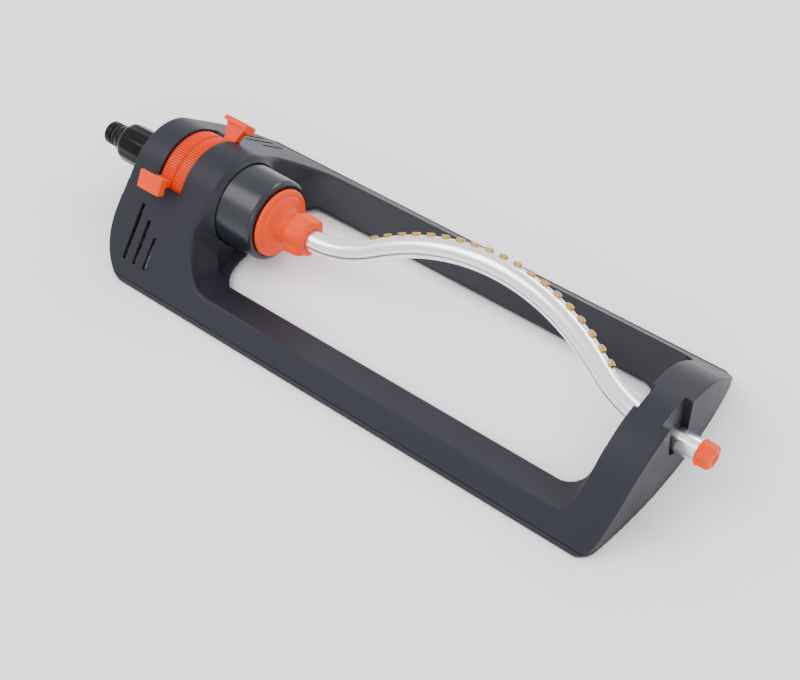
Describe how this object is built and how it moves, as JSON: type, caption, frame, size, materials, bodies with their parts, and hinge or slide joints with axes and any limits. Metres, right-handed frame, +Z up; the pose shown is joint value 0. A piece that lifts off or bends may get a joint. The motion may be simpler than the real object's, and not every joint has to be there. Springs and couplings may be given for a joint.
{
  "type": "oscillating sprinkler",
  "caption": "Oscillating lawn sprinkler: open moulded base, water motor under a cowl, range rings, arched spray tube with nozzles and a hose nipple.",
  "frame": {"origin": "on the ground under the middle of the sprinkler's overall length", "axes": "+X along the spray tube from the hose connector to the end plug, +Z up"},
  "size_m": [0.4686, 0.1544, 0.0691],
  "materials": {
    "base_plastic": "satin moulded plastic",
    "motor_plastic": "smooth moulded plastic",
    "orange_plastic": "smooth moulded plastic",
    "black_plastic": "smooth moulded plastic",
    "gear_plastic": "natural acetal",
    "aluminium": "satin anodised tube",
    "brass": "turned brass",
    "steel": "plain stainless steel",
    "rubber": "matt black rubber"
  },
  "bodies": {
    "base": {"base_shell": "base_plastic", "housing_strap": "motor_plastic", "strap_screw_1": "steel", "strap_screw_2": "steel", "rear_housing": "motor_plastic", "front_housing": "motor_plastic", "inlet_filter": "gear_plastic", "flow_plate": "gear_plastic", "flap_spring": "steel", "gear_plate": "gear_plastic", "idler_pin": "steel", "output_bush": "brass", "output_seal": "rubber", "crossbar_bush": "motor_plastic"},
    "spray_arm": {"output_shaft": "gear_plastic", "output_gear": "gear_plastic", "tube_socket": "orange_plastic", "tube_seal": "rubber", "spray_tube": "aluminium", "nozzle_01": "brass", "nozzle_02": "brass", "nozzle_03": "brass", "nozzle_04": "brass", "nozzle_05": "brass", "nozzle_06": "brass", "nozzle_07": "brass", "nozzle_08": "brass", "nozzle_09": "brass", "nozzle_10": "brass", "nozzle_11": "brass", "nozzle_12": "brass", "nozzle_13": "brass", "nozzle_14": "brass", "nozzle_15": "brass", "nozzle_16": "brass", "nozzle_17": "brass", "nozzle_18": "brass", "nozzle_19": "brass"},
    "rear_range_ring": {"range_ring_rear": "orange_plastic"},
    "front_range_ring": {"range_ring_front": "orange_plastic"},
    "hose_connector": {"swivel_nut": "black_plastic", "inlet_washer": "rubber", "hose_nipple": "black_plastic", "nipple_oring": "rubber"},
    "idler": {"idler_gear": "gear_plastic"},
    "turbine": {"turbine_shaft": "steel", "turbine_wheel": "gear_plastic"},
    "flap": {"reversing_flap": "gear_plastic"},
    "end_cap": {"end_plug": "orange_plastic", "plug_seal": "rubber", "cleaning_needle": "steel"}
  },
  "joints": [
    {"name": "tube_oscillation", "type": "hinge", "parent": "base", "child": "spray_arm", "pos_m": [0, 0, 0.0325], "axis": [1, 0, 0], "range_deg": [-8.4, 91.6]},
    {"name": "idler_turn", "type": "hinge", "parent": "base", "child": "idler", "pos_m": [0, 0.01295, 0.0325], "axis": [1, 0, 0], "range_deg": [-248, 23]},
    {"name": "turbine_turn", "type": "hinge", "parent": "base", "child": "turbine", "pos_m": [0, 0, 0.0325], "axis": [1, 0, 0], "range_deg": [-62, 668]},
    {"name": "flap_turn", "type": "hinge", "parent": "base", "child": "flap", "pos_m": [0, 0, 0.0395], "axis": [1, 0, 0], "range_deg": [-12, 12]},
    {"name": "rear_ring_turn", "type": "hinge", "parent": "base", "child": "rear_range_ring", "pos_m": [0, 0, 0.0325], "axis": [1, 0, 0], "range_deg": [-45, 0]},
    {"name": "front_ring_turn", "type": "hinge", "parent": "base", "child": "front_range_ring", "pos_m": [0, 0, 0.0325], "axis": [1, 0, 0], "range_deg": [0, 45]},
    {"name": "nut_swivel", "type": "hinge", "parent": "base", "child": "hose_connector", "pos_m": [0, 0, 0.0325], "axis": [1, 0, 0], "continuous": true},
    {"name": "plug_slide", "type": "slide", "parent": "spray_arm", "child": "end_cap", "axis": [1, 0, 0], "range_m": [0, 0.012]}
  ],
  "couplings": [
    {"joint": "idler_turn", "follows": "tube_oscillation", "ratio": -2.7},
    {"joint": "turbine_turn", "follows": "tube_oscillation", "ratio": 7.29}
  ]
}
